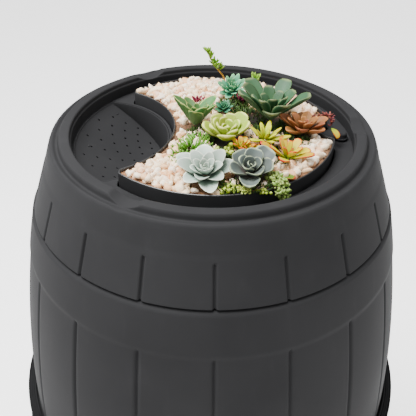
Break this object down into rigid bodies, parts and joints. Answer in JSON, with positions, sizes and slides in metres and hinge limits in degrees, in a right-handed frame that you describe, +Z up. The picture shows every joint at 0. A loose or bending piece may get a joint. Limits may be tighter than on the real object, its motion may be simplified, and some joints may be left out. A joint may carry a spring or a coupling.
{
  "type": "rain barrel",
  "caption": "Staved barrel-shaped rain barrel with a lift-off cover, a perforated strainer dish, a crescent planter of succulents and a front spigot.",
  "frame": {"origin": "centre of the flat base, at ground level", "axes": "+Z up along the barrel's axis; the front, with the spigot, faces -Y; the strainer dish is at -X"},
  "size_m": [0.6392, 0.6793, 0.9723],
  "materials": {
    "charcoal_plastic": "satin moulded plastic, fine grain",
    "dark_ribbed_plastic": "satin moulded plastic",
    "tray_black": "smooth moulded plastic",
    "rubber": "matt",
    "brass": "cast and machined, slightly dull",
    "steel": "zinc plated",
    "lever_plastic": "satin",
    "soil": "loose, damp",
    "gravel": "rounded pebbles, cream, pink and white",
    "leaf_silver_rosette": "fleshy leaves with a waxy bloom",
    "leaf_blue_rosette": "fleshy leaves with a waxy bloom",
    "leaf_lime_rosette": "fleshy leaves with a waxy bloom",
    "leaf_green_rosette": "fleshy leaves with a waxy bloom",
    "leaf_spoon_leaf": "fleshy leaves with a waxy bloom",
    "leaf_teal_rosette": "fleshy leaves with a waxy bloom",
    "leaf_bronze_rosette": "fleshy leaves with a waxy bloom",
    "leaf_star_rosette": "fleshy leaves with a waxy bloom",
    "leaf_orange_paddle": "fleshy leaves with a waxy bloom",
    "leaf_spiky_sedum": "fleshy leaves with a waxy bloom",
    "leaf_bead_cluster": "fleshy leaves with a waxy bloom",
    "leaf_tall_sprig": "fleshy leaves with a waxy bloom",
    "leaf_short_sprig": "fleshy leaves with a waxy bloom",
    "leaf_burgundy_sprig": "fleshy leaves with a waxy bloom",
    "leaf_donkey_tail": "fleshy leaves with a waxy bloom"
  },
  "bodies": {
    "barrel": {"lower_shell": "charcoal_plastic", "upper_shell": "charcoal_plastic", "joint_hoop": "dark_ribbed_plastic", "joint_gasket": "rubber", "hoop_bolt": "steel", "hoop_nut": "steel", "lower_hoop": "dark_ribbed_plastic", "cover_seal": "rubber", "spigot_body": "brass", "spigot_outer_washer": "rubber", "spigot_inner_washer": "rubber", "spigot_locknut": "brass"},
    "cover": {"top_cover": "charcoal_plastic"},
    "strainer": {"strainer_dish": "charcoal_plastic", "screen_frame": "dark_ribbed_plastic", "insect_mesh": "steel", "screen_screw_1": "steel", "screen_screw_2": "steel", "screen_screw_3": "steel", "screen_screw_4": "steel"},
    "planter": {"planter_tray": "tray_black", "potting_soil": "soil", "gravel_layer": "gravel", "plant_silver_rosette": "leaf_silver_rosette", "plant_blue_rosette": "leaf_blue_rosette", "plant_lime_rosette": "leaf_lime_rosette", "plant_green_rosette": "leaf_green_rosette", "plant_spoon_leaf": "leaf_spoon_leaf", "plant_teal_rosette": "leaf_teal_rosette", "plant_bronze_rosette": "leaf_bronze_rosette", "plant_star_rosette": "leaf_star_rosette", "plant_orange_paddle": "leaf_orange_paddle", "plant_spiky_sedum": "leaf_spiky_sedum", "plant_bead_cluster": "leaf_bead_cluster", "plant_tall_sprig": "leaf_tall_sprig", "plant_short_sprig": "leaf_short_sprig", "plant_burgundy_sprig": "leaf_burgundy_sprig", "plant_donkey_tail": "leaf_donkey_tail"},
    "plug": {"port_plug": "charcoal_plastic", "port_seal": "rubber"},
    "valve": {"valve_ball": "steel", "valve_stem": "brass", "valve_lever": "lever_plastic", "lever_screw": "steel"}
  },
  "joints": [
    {"name": "cover_lift", "type": "slide", "parent": "barrel", "child": "cover", "axis": [0, 0, 1], "range_m": [0, 0.12]},
    {"name": "strainer_lift", "type": "slide", "parent": "cover", "child": "strainer", "axis": [0, 0, 1], "range_m": [0, 0.08]},
    {"name": "planter_lift", "type": "slide", "parent": "cover", "child": "planter", "axis": [0, 0, 1], "range_m": [0, 0.14]},
    {"name": "plug_lift", "type": "slide", "parent": "cover", "child": "plug", "axis": [0, 0, 1], "range_m": [0, 0.03]},
    {"name": "valve_turn", "type": "hinge", "parent": "barrel", "child": "valve", "pos_m": [0, -0.31471, 0.07], "axis": [0, 0, -1], "range_deg": [0, 90]}
  ]
}
